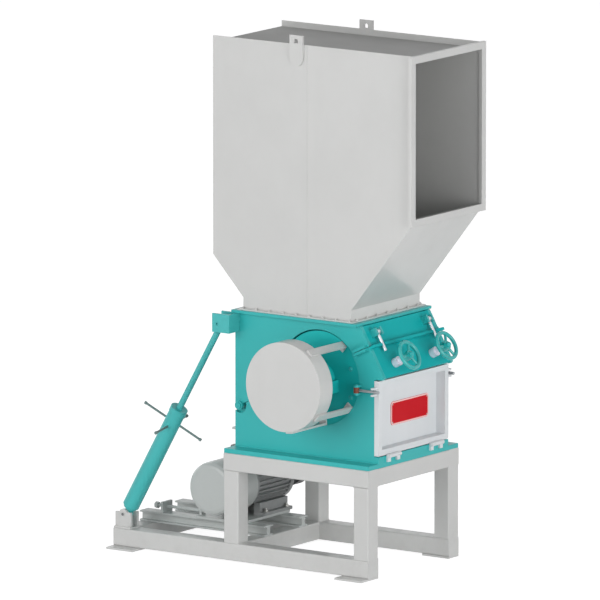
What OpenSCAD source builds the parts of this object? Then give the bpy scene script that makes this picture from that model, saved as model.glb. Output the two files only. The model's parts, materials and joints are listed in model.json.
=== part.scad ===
// Granulator for plastic scrap: a square-tube stand carries a steel cutting
// chamber with a rotor, and a tall hopper that tips back with the chamber's top.
// The feed opening and the screen door face +X, the shaft guard faces -Y.

/* [Stand] */
// Width and depth of the stand's square tube
tube = 100; // [80:5:110]
// Length of the stand over its legs
stand_l = 984; // [960:2:1040]
// Width of the stand over its legs
stand_w = 892; // [880:2:960]
// Height from the foot plates to the top of the stand
stand_h = 610; // [560:5:680]
// Reach of the base rails behind the rear legs
rail_reach = 761; // [740:1:840]
// Thickness of a foot plate
foot_t = 12; // [8:1:20]
// Length of a foot plate
foot_l = 180; // [140:5:240]
// How far the near foot plates stick out beside the stand
foot_out = 70; // [40:5:100]

/* [Cutting chamber] */
// Thickness of the plate under the chamber
base_plate_t = 25; // [15:1:35]
// Margin of the stand around the base plate
base_plate_edge = 6; // [0:1:20]
// Outside width of the chamber
chamber_w = 684; // [660:2:700]
// Thickness of the chamber's side walls
wall_t = 25; // [20:1:30]
// Thickness of the chamber's rear, slope and front plates
plate_t = 20; // [12:1:25]
// Distance of the chamber's rear face from the stand's rear end
chamber_rear_in = 8; // [2:1:22]
// Height of the chamber over the stand, to the hopper
chamber_h = 803; // [780:1:840]
// How far the flange that carries the hopper reaches past its neck
top_flange_front_out = 54; // [40:1:60]
// How far the top flange stands out on each side
top_flange_out = 31; // [15:1:40]
// Thickness of the top flange
top_flange_t = 16; // [12:1:25]
// Height of the foot of the slope over the stand
slope_foot_h = 511; // [500:1:530]
// How far the foot of the slope stands out over the stand's front
slope_foot_out = 32; // [10:1:50]
// Length of the slope, along it
slope_l = 318; // [300:1:326]
// Angle of the slope over level
slope_a = 60.2; // [58:0.1:62]
// Height of the rear hinge over the stand
hinge_h = 260; // [240:1:280]
// Distance of the rear hinge from the chamber's rear face
hinge_in = 31; // [28:1:40]
// Rise of the plane at which the chamber opens
split_a = 25.6; // [24:0.1:27]
// Gap between the lower and upper housing
split_gap = 3; // [1:0.5:6]

/* [Rotor] */
// Rotor axis, behind the stand's front
rotor_in = 401; // [392:1:412]
// Rotor axis, over the stand
rotor_h = 470; // [460:1:480]
// Radius that the rotor's knife edges sweep
knife_r = 215; // [200:1:220]
// Shaft radius
shaft_r = 45; // [35:1:55]
// Number of rotor discs
discs = 7; // [5:1:9]
// Thickness of a rotor disc
disc_t = 40; // [25:1:50]
// Running gap of the rotor in its walls and at its knives
rotor_gap = 6; // [4:1:10]
// Radius of the round bearing plates
bearing_plate_r = 266; // [255:1:275]
// Depth of the bearing plates behind the walls' outer faces
bearing_recess = 10; // [5:1:15]
// Radius of the bearing blocks
bearing_r = 95; // [80:1:110]
// Depth of the bearing blocks
bearing_d = 70; // [50:1:90]

/* [Door] */
// Height of the door's lower edge over the stand
door_low = 67; // [60:1:80]
// Height of the door
door_h = 424; // [400:1:430]
// Width of the door
door_w = 686; // [660:2:700]
// Width of the door's rim
door_rim = 33; // [25:1:45]
// Thickness of the door's rim
door_t = 30; // [20:1:40]
// Depth of the door's panel behind its rim
door_recess = 60; // [40:1:80]
// Sheet thickness of the door
door_sheet = 6; // [3:1:10]
// Distance of each door hinge from the middle
door_hinge_y = 210; // [190:1:230]
// Height of the door's latches over the stand
latch_h = 434; // [420:1:445]

/* [Hopper] */
// Outside width of the hopper
hopper_w = 670; // [640:2:680]
// Sheet thickness of the hopper
sheet = 4; // [3:0.5:6]
// Height of the hopper over its base flange
hopper_h = 1525; // [1450:5:1600]
// Rear of the hopper's neck, in front of the chamber's rear face
neck_rear_in = 50; // [40:1:64]
// Front of the hopper's neck, behind the stand's front
neck_front_in = 191; // [182:1:212]
// Height of the neck
neck_h = 62; // [50:1:80]
// How far the hopper widens behind its neck
hopper_rear_out = 206; // [166:2:246]
// How far the hopper widens in front of its neck
hopper_front_out = 404; // [380:2:440]
// Height of the rear slope's top over the flange
rear_slope_h = 287; // [260:1:320]
// Height of the front slope's top over the flange
front_slope_h = 573; // [540:1:600]
// Depth of the top sheet under the side walls' edges
top_recess = 34; // [20:1:50]
// Depth of the feed opening's frame, from the side walls on
feed_frame_d = 21; // [15:1:30]
// Width of the feed opening's frame
feed_frame_w = 41; // [35:1:50]
// Thickness of the hopper's base flange
hopper_flange_t = 8; // [5:1:12]
// Width of a lifting lug
lug_w = 90; // [70:2:110]
// Height of a lifting lug
lug_h = 173; // [150:1:190]

/* [Screw jack] */
// Plane of the jack, from the chamber's near wall out
jack_out = 54; // [52:1:60]
// Jack foot pivot, in front of the rails' rear end
jack_foot_in = 60; // [55:1:90]
// Jack foot pivot, over the base rails
jack_foot_h = 81; // [70:1:95]
// Jack head pivot, behind the chamber's rear face
jack_head_out = 53; // [48:1:60]
// Jack head pivot, over the stand
jack_head_h = 725; // [690:1:730]
// Outer radius of the jack's sleeve
sleeve_r = 47.5; // [40:0.5:50]
// Length of the jack's sleeve
sleeve_l = 673; // [640:1:700]
// Radius of the jack's screw
screw_r = 18; // [14:1:22]
// Radius of the jack's pins
jack_pin_r = 11; // [9:1:14]
// Slack round the head pin, because the head runs on its own arc
head_slack = 18; // [17:1:20]
// Length of a handle bar
bar_l = 390; // [340:5:440]
// Place of the handle bars, along the sleeve
bar_at = 567; // [540:1:600]

/* [Drive] */
// Motor axis, behind the stand's rear end
motor_back = 198; // [178:1:218]
// Radius of the motor's fan cowl
cowl_r = 155; // [140:1:165]
// Length of the fan cowl
cowl_l = 250; // [200:5:280]
// Near face of the motor, from the machine's middle
motor_near = 297; // [280:1:310]
// Length of the motor's ribbed body
motor_l = 370; // [340:5:400]
// Height of the motor's axis over its feet
motor_shaft_h = 180; // [160:1:200]
// Height of the slide rails under the motor
slide_h = 60; // [50:1:100]
// Pitch radius of the motor pulley
motor_pulley_r = 90; // [80:1:100]
// Pitch radius of the rotor pulley
rotor_pulley_r = 225; // [200:1:230]
// Width of both pulleys
pulley_w = 90; // [70:1:95]
// Gap between the stand and the pulleys
pulley_gap = 9; // [6:1:15]
// Number of belts
belts_n = 4; // [2:1:5]

/* [Guard and handwheels] */
// Radius of the shaft guard
guard_r = 252; // [240:1:253]
// Depth of the shaft guard
guard_d = 118; // [100:1:140]
// Distance of the guard's outer face from the near wall
guard_reach = 354; // [330:1:380]
// Sheet thickness of the guard
guard_sheet = 5; // [3:1:8]
// Outer radius of a handwheel
wheel_r = 88; // [80:1:95]
// Distance of each handwheel from the middle
wheel_y = 183; // [170:1:200]
// Height of a handwheel over the slope
wheel_out = 108; // [95:1:125]

/* [Hidden] */
$fn = 64;

// Heights and faces that several pieces share
stand_top = foot_t + stand_h;
half_l = stand_l / 2;
half_w = stand_w / 2;
chamber_rear = half_l - chamber_rear_in;
rotor_x = half_l - rotor_in;
neck_rear = chamber_rear - neck_rear_in;
neck_front = half_l - neck_front_in;
hopper_rear_x = neck_rear + hopper_rear_out;
hopper_front_x = neck_front + hopper_front_out;
motor_x = half_l + motor_back;
rail_end = -half_l - rail_reach;
rail_top = foot_t + tube;
chamber_low = stand_top + base_plate_t;
wall_y = chamber_w / 2;
wall_in = wall_y - wall_t;
flange_top = stand_top + chamber_h;
top_flange_rear = -chamber_rear - 6;
slope_foot = [half_l + slope_foot_out, stand_top + slope_foot_h];
slope_top = slope_foot + slope_l * [-cos(slope_a), sin(slope_a)];
hinge = [-chamber_rear + hinge_in, stand_top + hinge_h];
knuckle_r = 25;
hinge_pin_r = 11;
notch_r = 44;
rotor_at = [rotor_x, stand_top + rotor_h];
door_z = stand_top + door_low;
door_back = half_l - door_t;
far = 3000;

// Jack pivots and the angle of its axis over level
jack_y = -wall_y - jack_out;
jack_foot_at = [rail_end + jack_foot_in, rail_top + jack_foot_h];
jack_head_at = [-chamber_rear - jack_head_out, stand_top + jack_head_h];
jack_run = jack_head_at - jack_foot_at;
jack_a = atan2(jack_run[1], jack_run[0]);
jack_l = norm(jack_run);
sleeve_low = 55;
eye_w = 44;

motor_z = rail_top + slide_h + 14 + motor_shaft_h;
pulley_y = half_w + pulley_gap;

// Motor on its slide
slide_y = [-150, 190];
slide_w = 80;
carriage_l = 330;
carriage_t = 14;
carriage_low = rail_top + slide_h;
ribs = 32;
body_r = 128;
rib_h = 17;

// Grooved pulley along Y with a bored hub
belt_step = pulley_w / belts_n;
belt_w = 15;
belt_in = 7;
belt_clear = 0.3;

// Belt loops, tangent to both pulleys
belt_span = rotor_at - [-motor_x, motor_z];
belt_a = atan2(belt_span[1], belt_span[0]);
belt_len = norm(belt_span);
wrap_a = acos((rotor_pulley_r - motor_pulley_r) / belt_len);

// Strip outside a wall, along the opening plane near the slope
strip_l = 92;
strip_out = 24;
strip_t = 16;

// Distance of the opening plane down the slope, from its top
split_rise = tan(split_a);
split_down = ((slope_top[1] - hinge[1]) - split_rise * (slope_top[0] - hinge[0]))
             / (sin(slope_a) + split_rise * cos(slope_a));
lower_rear_top = hinge[1] - notch_r - 4;

// Rear hinge: lower ears with their pin, and a lip behind the rear wall
ear_w = 40;

// Rotor, screen and fixed knives
rotor_half = wall_in - rotor_gap;
disc_r = knife_r - 30;
screen_r = knife_r + rotor_gap;
screen_t = 8;
screen_ends = [209, 338];
screen_rows = 4;
screen_cols = 3;
screen_hole_r = 10;

// Shaft guard on its arms
guard_near = -wall_y - guard_reach;
arm_angles = [52, -38, -85];
arm_w = 44;
arm_t = 12;
door_axis = [half_l + 13, door_z - 6];

// Swing latches beside the door
latch_z = stand_top + latch_h;
latch_r = 8;
latch_y = wall_y + 28;
latch_pivot_x = half_l - 132;

// Handwheels on spindles through the slope
wheel_up = 70;
spindle_r = 14;
rim_r = 11;

// Screw jack
jack_cheek = 14;
head_top = flange_top - top_flange_t - 2;
head_cheek = 12;

// Ledge and clamp bolts across the opening edge, on the slope
ledge_out = 36;
ledge_t = 16;
clamp_y = 250;
clamp_pivot = slope_l - split_down + 66;

// Hopper
sheet_y = hopper_w / 2;
hopper_base = flange_top + hopper_flange_t;
hopper_top_z = hopper_base + hopper_h;

// The origin is on the floor, in the middle of the machine's whole length and width
middle = [(rail_end + hopper_front_x + feed_frame_d) / 2,
          (pulley_y + pulley_w - wall_y - guard_reach) / 2, 0];

// Outline of a square with round corners
module round_square(w, r) {
    square([w - 2 * r, w], center = true);
    square([w, w - 2 * r], center = true);
    for (x = [-1, 1], y = [-1, 1])
        translate([x, y] * (w / 2 - r)) circle(r);
}

// Square tube along X, from x0 to x1, its section from y and z up
module tube_x(x0, x1, y, z) {
    translate([x0, y + tube / 2, z + tube / 2]) rotate([90, 0, 90])
        linear_extrude(x1 - x0) round_square(tube, 8);
}

// Square tube along Y, from y0 to y1, its section from x and z up
module tube_y(y0, y1, x, z) {
    translate([x + tube / 2, y1, z + tube / 2]) rotate([90, 0, 0])
        linear_extrude(y1 - y0) round_square(tube, 8);
}

// Block between two corners
module block(a, b) {
    translate(a) cube(b - a);
}

// Plate from y0 to y1 with an outline drawn in X and Z
module plate_y(y0, y1) {
    translate([0, y1, 0]) rotate([90, 0, 0]) linear_extrude(y1 - y0) children();
}

// Round bar along Y, from y0 to y1, at a point in X and Z
module rod_y(y0, y1, at, r) {
    translate([at[0], y0, at[1]]) rotate([-90, 0, 0]) cylinder(h = y1 - y0, r = r);
}

// Children on both sides of the machine
module both_sides() {
    children();
    mirror([0, 1, 0]) children();
}

// Children in the jack's frame: Z along its axis from the foot pivot up
module on_jack() {
    translate([jack_foot_at[0], jack_y, jack_foot_at[1]]) rotate([0, 90 - jack_a, 0])
        children();
}

// Children on the slope: X out along its normal, Z up along it from its foot
module on_slope(y) {
    translate([slope_foot[0], y, slope_foot[1]]) rotate([0, slope_a - 90, 0]) children();
}

// Stand
module foot_plates() {
    color("gainsboro") {
        for (x = [rail_end, half_l - foot_l]) {
            block([x, -half_w - foot_out, 0], [x + foot_l, -half_w + tube, foot_t]);
            block([x, half_w - tube, 0], [x + foot_l, half_w, foot_t]);
        }
    }
}

module side_rails() {
    color("gainsboro") both_sides() {
        tube_x(rail_end, half_l, -half_w, foot_t);
        tube_x(-half_l, half_l, -half_w, stand_top - tube);
    }
}

module cross_rails() {
    cross_l = half_w - tube;
    color("gainsboro") {
        for (x = [rail_end, -half_l])
            tube_y(-cross_l, cross_l, x, foot_t);
        for (x = [-half_l, half_l - tube])
            tube_y(-cross_l, cross_l, x, stand_top - tube);
    }
}

module legs() {
    color("gainsboro")
        for (x = [-1, 1], y = [-1, 1])
            translate([x * (half_l - tube / 2), y * (half_w - tube / 2), rail_top])
                linear_extrude(stand_top - tube - rail_top) round_square(tube, 8);
}

module motor_slide() {
    color("silver") {
        for (y = slide_y)
            difference() {
                block([rail_end, y - slide_w / 2, rail_top],
                      [-half_l + tube, y + slide_w / 2, carriage_low]);
                for (side = [-1, 1])
                    block([rail_end - 1, y + side * slide_w / 2 - 25, rail_top + 10],
                          [-half_l + tube + 1, y + side * slide_w / 2 + 25,
                           carriage_low - 10]);
            }
        block([-motor_x - carriage_l / 2, slide_y[0] - 60, carriage_low],
              [-motor_x + carriage_l / 2, slide_y[1] + 60, carriage_low + carriage_t]);
        screw_z = carriage_low + 34;
        stop_x = rail_end + 150;
        // Stop plate and tension screw behind the carriage
        block([stop_x, slide_y[0] - 45, carriage_low],
              [stop_x + 16, slide_y[0] + 45, screw_z + 30]);
        translate([stop_x - 66, slide_y[0], screw_z]) rotate([0, 90, 0])
            cylinder(h = -motor_x - carriage_l / 2 - stop_x + 66, r = 9);
        translate([stop_x - 66, slide_y[0], screw_z]) rotate([0, 90, 0])
            cylinder(h = 20, r = 19, $fn = 6);
        block([-motor_x - carriage_l / 2, slide_y[0] - 20, carriage_low + carriage_t],
              [-motor_x - carriage_l / 2 + 16, slide_y[0] + 20, screw_z + 20]);
    }
}

module motor_body() {
    body_y = -motor_near + cowl_l;
    color("darkgray") {
        translate([-motor_x, body_y + motor_l, motor_z]) rotate([90, 0, 0]) {
            translate([0, 0, 30]) linear_extrude(motor_l - 60) {
                circle(body_r);
                for (i = [0 : ribs - 1])
                    rotate((i + 0.5) * 360 / ribs) translate([body_r - 2, -2.5])
                        square([rib_h + 2, 5]);
            }
            cylinder(h = 30, r = body_r + rib_h);
            translate([0, 0, motor_l - 30]) cylinder(h = 30, r = body_r + rib_h);
            translate([0, 0, -14]) cylinder(h = 14, r = 70);
        }
        // Feet
        foot_low = carriage_low + carriage_t;
        for (side = [-1, 1])
            difference() {
                block([-motor_x + side * 127 - 38, body_y + 50, foot_low],
                      [-motor_x + side * 127 + 38, body_y + motor_l - 50, foot_low + 70]);
                block([-motor_x + side * 165 - 34, body_y + 49, foot_low + 18],
                      [-motor_x + side * 165 + 34, body_y + motor_l - 49,
                       foot_low + 71]);
            }
        // Terminal box
        box_y = body_y + 95;
        box_low = motor_z + body_r + rib_h;
        block([-motor_x - 50, box_y - 50, box_low - 25],
              [-motor_x + 50, box_y + 50, box_low + 52]);
        block([-motor_x - 60, box_y - 60, box_low + 52],
              [-motor_x + 60, box_y + 60, box_low + 62]);
    }
}

module motor_cowl() {
    color("silver")
        translate([-motor_x, -motor_near + cowl_l, motor_z]) rotate([90, 0, 0])
            rotate_extrude($fn = 96)
                polygon([[0, 0], [cowl_r, 0], [cowl_r, cowl_l - 40],
                         [cowl_r - 6, cowl_l - 16], [cowl_r - 18, cowl_l - 4],
                         [cowl_r - 34, cowl_l], [0, cowl_l]]);
}

module pulley(pitch_r, at, bore) {
    translate([at[0], pulley_y, at[1]]) rotate([-90, 0, 0])
        rotate_extrude($fn = 96)
            difference() {
                translate([bore, 0]) square([pitch_r - bore, pulley_w]);
                for (i = [0 : belts_n - 1])
                    translate([pitch_r - belt_in - belt_clear,
                               (i + 0.5) * belt_step - belt_w / 2 - belt_clear])
                        square([belt_in + belt_clear + 1, belt_w + 2 * belt_clear]);
            }
}

module motor_pulley() {
    motor_end = -motor_near + cowl_l + motor_l;
    color("darkgray") {
        pulley(motor_pulley_r, [-motor_x, motor_z], 0);
        rod_y(motor_end + 14.5, pulley_y, [-motor_x, motor_z], 24);
    }
}

module rotor_pulley() {
    color("darkgray")
        difference() {
            pulley(rotor_pulley_r, rotor_at, shaft_r);
            translate([rotor_at[0], pulley_y, rotor_at[1]]) rotate([-90, 0, 0])
                for (i = [0 : 4])
                    rotate(i * 72) translate([135, 0, -1])
                        cylinder(h = pulley_w + 2, r = 42);
        }
}

module belt_outline(grow) {
    small = motor_pulley_r - belt_in + grow;
    big = rotor_pulley_r - belt_in + grow;
    circle(small, $fn = 96);
    translate([belt_len, 0]) circle(big, $fn = 96);
    polygon([small * [-cos(wrap_a), sin(wrap_a)],
             [belt_len, 0] + big * [-cos(wrap_a), sin(wrap_a)],
             [belt_len, 0] + big * [-cos(wrap_a), -sin(wrap_a)],
             small * [-cos(wrap_a), -sin(wrap_a)]]);
}

module drive_belts() {
    color("dimgray")
        for (i = [0 : belts_n - 1]) {
            y = pulley_y + (i + 0.5) * belt_step - belt_w / 2;
            translate([-motor_x, y + belt_w, motor_z]) rotate([90, 0, 0]) rotate(belt_a)
                linear_extrude(belt_w)
                    difference() {
                        belt_outline(11);
                        belt_outline(0);
                    }
        }
}

// Side view of the chamber, in X and Z
module chamber_side() {
    polygon([[-chamber_rear, chamber_low], [half_l, chamber_low], [half_l, door_z - 5],
             [door_back - 0.5, door_z - 5], [door_back - 0.5, slope_foot[1] - 12],
             [slope_foot[0] - 8, slope_foot[1] - 12], slope_foot, slope_top,
             [slope_top[0] - 1, flange_top - top_flange_t],
             [-chamber_rear, flange_top - top_flange_t]]);
}

// Half plane over or under the opening plane, for up of 1 or -1
module split_side(up) {
    translate(hinge) rotate(split_a)
        translate([-far, up > 0 ? split_gap / 2 : -far - split_gap / 2])
            square([2 * far, far]);
}

module edge_strip(up) {
    front = (slope_top[0] + cos(slope_a) * split_down - hinge[0]) / cos(split_a);
    translate([hinge[0], -wall_y - strip_out, hinge[1]]) rotate([0, -split_a, 0])
        translate([front - strip_l - 14, 0,
                   up > 0 ? split_gap / 2 : -split_gap / 2 - strip_t])
            cube([strip_l, strip_out, strip_t]);
}

module lower_side_walls() {
    color("mediumturquoise") both_sides() {
        plate_y(-wall_y, -wall_in)
            difference() {
                intersection() {
                    chamber_side();
                    split_side(-1);
                }
                translate(hinge) circle(notch_r);
                translate(rotor_at) circle(bearing_plate_r + 0.3, $fn = 128);
            }
        edge_strip(-1);
        // Lugs and pin of the door latch
        at = [latch_pivot_x, -latch_y, latch_z];
        for (low = [-28, 16.5])
            translate([at[0] - 16, -latch_y, latch_z + low]) {
                cube([32, latch_y - wall_y, 11.5]);
                translate([16, 0, 0]) cylinder(h = 11.5, r = 16);
            }
        translate(at - [0, 0, 32]) cylinder(h = 64, r = 7);
    }
}

module upper_side_walls() {
    color("mediumturquoise") both_sides() {
        plate_y(-wall_y, -wall_in)
            difference() {
                union() {
                    intersection() {
                        chamber_side();
                        split_side(1);
                    }
                    translate(hinge) circle(knuckle_r);
                }
                translate(rotor_at) circle(bearing_plate_r + 8, $fn = 128);
                translate(hinge) circle(hinge_pin_r + 0.5);
            }
        // Boss of the hinge, outside the wall
        plate_y(-wall_y - 14, -wall_y)
            difference() {
                translate(hinge) circle(knuckle_r);
                translate(hinge) circle(hinge_pin_r + 0.5);
            }
        edge_strip(1);
    }
}

module base_plate() {
    edge = base_plate_edge;
    color("mediumturquoise")
        difference() {
            block([-half_l, -half_w + edge, stand_top], [half_l, half_w - edge, chamber_low]);
            block([-half_l + tube + 20, -wall_in, stand_top - 1],
                  [half_l - tube - 20, wall_in, chamber_low + 1]);
        }
}

module lower_end_walls() {
    color("mediumturquoise") {
        block([-chamber_rear, -wall_in, chamber_low],
              [-chamber_rear + plate_t, wall_in, lower_rear_top]);
        block([half_l - door_t, -wall_in, chamber_low], [half_l, wall_in, door_z - 5]);
    }
}

module lower_slope_plate() {
    top = slope_l - split_down - 2;
    color("mediumturquoise") {
        difference() {
            on_slope(-wall_in) translate([-plate_t, 0, 0]) cube([plate_t, 2 * wall_in, top]);
            for (y = [-wheel_y, wheel_y])
                on_slope(y) translate([-plate_t - 1, 0, wheel_up]) rotate([0, 90, 0])
                    cylinder(h = plate_t + 2, r = spindle_r + 0.3);
        }
        // Ledge along the opening edge, with an outward slot for each clamp bolt
        difference() {
            union() {
                on_slope(-wall_in) translate([-1, 0, top - ledge_t])
                    cube([ledge_out + 1, 2 * wall_in, ledge_t]);
                on_slope(-wall_y) translate([0, 0, top - ledge_t])
                    cube([ledge_out, 2 * wall_y, ledge_t]);
            }
            both_sides() on_slope(-clamp_y) translate([8, -14.5, top - ledge_t - 1])
                cube([ledge_out, 29, ledge_t + 2]);
        }
    }
}

module rear_hinge() {
    color("teal") {
        both_sides() {
            plate_y(-wall_in + 0.5, -wall_in + ear_w) {
                translate(hinge) circle(knuckle_r);
                polygon([[-chamber_rear, lower_rear_top],
                         [-chamber_rear + plate_t + 26, lower_rear_top],
                         hinge + [knuckle_r, 0], hinge - [knuckle_r, 0]]);
                translate([-chamber_rear + plate_t, lower_rear_top - 60]) square([26, 61]);
            }
            rod_y(-wall_y - 22, -wall_y - 14.5, hinge, 17);
        }
        rod_y(-wall_y - 22, wall_y + 22, hinge, hinge_pin_r);
    }
}

module rear_cover() {
    low = chamber_low + 5;
    color("silver") {
        block([-chamber_rear - 10, -wall_in - 10, low], [-chamber_rear, wall_in + 10, low + 84]);
        block([-chamber_rear - 34, -wall_in - 10, low + 84],
              [-chamber_rear, wall_in + 10, low + 96]);
    }
}

// Bearings
module bearings() {
    color("darkcyan") both_sides() {
        plate_y(-wall_y + bearing_recess, -wall_in)
            difference() {
                translate(rotor_at) circle(bearing_plate_r, $fn = 128);
                translate(rotor_at) circle(shaft_r + rotor_gap);
            }
        plate_y(-wall_y + bearing_recess - bearing_d, -wall_y + bearing_recess)
            difference() {
                union() {
                    translate(rotor_at) circle(bearing_r);
                    translate(rotor_at - [bearing_r + 25, 70])
                        square([2 * bearing_r + 50, 70]);
                }
                translate(rotor_at) circle(shaft_r + 0.3);
            }
    }
}

module rotor() {
    color("slategray") {
        rod_y(-rotor_half, rotor_half, rotor_at, 80);
        rod_y(-wall_y - guard_reach + 40, pulley_y + pulley_w, rotor_at, shaft_r);
        step = (2 * rotor_half - disc_t) / (discs - 1);
        for (i = [0 : discs - 1])
            rod_y(-rotor_half + i * step, -rotor_half + i * step + disc_t,
                  rotor_at, disc_r);
        // Knife bars with a raked cutting edge
        translate([rotor_at[0], rotor_half, rotor_at[1]]) rotate([90, 0, 0])
            for (i = [0 : 2])
                rotate(40 + i * 120) linear_extrude(2 * rotor_half)
                    polygon([[knife_r - 78, -34], [knife_r - 34, -34], [knife_r, 6],
                             [knife_r - 5, 14], [knife_r - 78, 14]]);
    }
}

module flywheel() {
    outer = -wall_y - guard_reach + guard_sheet + 22;
    color("darkgray")
        difference() {
            rod_y(outer, outer + 75, rotor_at, guard_r - 27);
            rod_y(outer + 45, outer + 76, rotor_at, guard_r - 60);
            rod_y(outer - 1, outer + 76, rotor_at, shaft_r);
        }
}

module screen() {
    color("silver")
        translate([rotor_at[0], wall_in, rotor_at[1]]) rotate([90, 0, 0])
            difference() {
                rotate([0, 0, screen_ends[0]])
                    rotate_extrude(angle = screen_ends[1] - screen_ends[0], $fn = 128)
                        translate([screen_r, 0]) square([screen_t, 2 * wall_in]);
                for (row = [0 : screen_rows - 1], col = [0 : screen_cols - 1])
                    rotate(232 + row * 26)
                        translate([screen_r - 5, 0, wall_in * (0.5 + 0.5 * col)])
                            rotate([0, 90, 0])
                                cylinder(h = screen_t + 10, r = screen_hole_r);
            }
}

// Fixed knives, on blocks between the side walls
module bed_knives() {
    color("lightsteelblue")
        translate([rotor_at[0], wall_in, rotor_at[1]]) rotate([90, 0, 0])
            linear_extrude(2 * wall_in) {
                rotate(screen_ends[0] - 7.5) translate([knife_r + rotor_gap, 0])
                    square([150, 22]);
                rotate(screen_ends[1] + 1) translate([knife_r + rotor_gap, 0])
                    square([95, 22]);
            }
}

module shaft_guard() {
    color("gainsboro")
        difference() {
            rod_y(guard_near, guard_near + guard_d, rotor_at, guard_r);
            rod_y(guard_near + guard_sheet, guard_near + guard_d + 1, rotor_at,
                  guard_r - guard_sheet);
        }
}

module guard_arms() {
    arm_l = guard_reach - 25 - bearing_recess;
    color("gainsboro")
        translate([rotor_at[0], -wall_y + bearing_recess, rotor_at[1]]) rotate([90, 0, 0])
            for (a = arm_angles)
                rotate(a) translate([guard_r, -arm_w / 2, 0]) {
                    cube([arm_t, arm_w, arm_l + 2 * bearing_recess]);
                    translate([-30, 0, 0]) cube([30 + arm_t, arm_w, arm_t]);
                }
}

// Screen door, hinged at its lower edge
module screen_door() {
    y = door_w / 2;
    top = door_z + door_h;
    pan_y = min(wall_in - 9, y - door_rim);
    low = door_z + door_rim;
    high = top - door_rim;
    deep = half_l - door_recess;
    color("whitesmoke")
        difference() {
            union() {
                block([door_back, -y, door_z], [half_l, y, top]);
                block([deep - door_sheet, -pan_y - door_sheet + 2, low - door_sheet],
                      [door_back, pan_y + door_sheet - 2, high + door_sheet]);
            }
            block([deep, -pan_y, low], [half_l + 1, pan_y, high]);
            // Hollow back of the rim
            difference() {
                block([door_back - 1, -y + door_sheet, door_z + door_sheet],
                      [half_l - door_sheet, y - door_sheet, top - door_sheet]);
                block([deep - 1, -pan_y - door_sheet, low - door_sheet],
                      [half_l, pan_y + door_sheet, high + door_sheet]);
            }
        }
    // Moving knuckles of the hinge
    color("silver")
        for (s = [-1, 1])
            difference() {
                union() {
                    rod_y(s * door_hinge_y - 30, s * door_hinge_y + 30, door_axis, 12);
                    block([half_l, s * door_hinge_y - 30, door_z + 2],
                          [door_axis[0], s * door_hinge_y + 30, door_axis[1] + 12]);
                }
                rod_y(s * door_hinge_y - 31, s * door_hinge_y + 31, door_axis, 6.5);
            }
}

// Ears on the door, with an outward slot for each latch
module door_ears() {
    y = door_w / 2;
    color("whitesmoke") both_sides()
        difference() {
            block([door_back + 6, -y - 44, latch_z - 24], [door_back + 20, -y, latch_z + 24]);
            block([door_back, -y - 45, latch_z - latch_r - 5],
                  [door_back + 26, -latch_y + latch_r + 5, latch_z + latch_r + 5]);
        }
}

module door_hinge() {
    color("silver")
        for (s = [-1, 1])
            union() {
                for (end = [-1, 1])
                    difference() {
                        union() {
                            rod_y(s * door_hinge_y + end * 45 - 14, s * door_hinge_y + end * 45 + 14,
                                  door_axis, 12);
                            block([half_l, s * door_hinge_y + end * 45 - 14, door_axis[1] - 34],
                                  [door_axis[0], s * door_hinge_y + end * 45 + 14, door_axis[1]]);
                        }
                        rod_y(s * door_hinge_y - 70, s * door_hinge_y + 70, door_axis, 6);
                    }
                rod_y(s * door_hinge_y - 62, s * door_hinge_y + 62, door_axis, 6);
            }
}

module latch(side) {
    at = [latch_pivot_x, side * latch_y, latch_z];
    color("lightgray") {
        translate(at) rotate([0, 90, 0]) cylinder(h = 148, r = latch_r);
        translate(at - [0, 0, 16])
            difference() {
                cylinder(h = 32, r = 16);
                translate([0, 0, -1]) cylinder(h = 34, r = 7.5);
            }
    }
    color("brown") translate(at + [118, 0, 0]) rotate([0, 90, 0])
        cylinder(h = 32, r = latch_r + 1);
}

module near_latch() {
    difference() {
        latch(-1);
        translate([latch_pivot_x, -latch_y, latch_z - 20]) cylinder(h = 40, r = 7.5);
    }
}

module far_latch() {
    difference() {
        latch(1);
        translate([latch_pivot_x, latch_y, latch_z - 20]) cylinder(h = 40, r = 7.5);
    }
}

module handwheel(y) {
    on_slope(y) translate([0, 0, wheel_up]) rotate([0, 90, 0]) {
        color("silver") {
            translate([0, 0, -plate_t - 10]) cylinder(h = wheel_out + plate_t + 24, r = spindle_r);
            translate([0, 0, 0.5]) cylinder(h = 36, r = 27);
        }
        color("darkcyan") {
            translate([0, 0, wheel_out - 20]) cylinder(h = 34, r = 26);
            translate([0, 0, wheel_out + 6])
                rotate_extrude($fn = 96) translate([wheel_r - rim_r, 0]) circle(rim_r, $fn = 24);
            for (i = [0 : 2])
                rotate(i * 120 + 30) translate([0, 0, wheel_out + 2]) rotate([0, 90, 0])
                    cylinder(h = wheel_r - rim_r, r = 8);
        }
    }
}

module near_handwheel() {
    handwheel(-wheel_y);
}

module far_handwheel() {
    handwheel(wheel_y);
}

module jack_base() {
    at = jack_foot_at;
    color("gainsboro") {
        difference() {
            for (side = [-1, 1])
                translate([0, jack_y + side * (eye_w / 2 + 2 + jack_cheek / 2), 0])
                    plate_y(-jack_cheek / 2, jack_cheek / 2) {
                        translate([at[0] - 54, rail_top + 10])
                            square([108, jack_foot_h + 2]);
                        translate(at) circle(30);
                    }
            rod_y(jack_y - 60, jack_y + 60, at, jack_pin_r);
        }
        block([at[0] - 58, jack_y - 48, rail_top], [at[0] + 58, jack_y + 48, rail_top + 10]);
        rod_y(jack_y - 44, jack_y + 44, at, jack_pin_r);
    }
}

module jack_foot() {
    color("darkcyan") on_jack()
        difference() {
            union() {
                rotate([90, 0, 0]) cylinder(h = eye_w, r = 27, center = true);
                cylinder(h = sleeve_low - 0.5, r = 21);
                translate([0, 0, sleeve_low - 14.5]) cylinder(h = 14, r = 38);
            }
            rotate([90, 0, 0]) cylinder(h = eye_w + 2, r = jack_pin_r + 0.5, center = true);
        }
}

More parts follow.
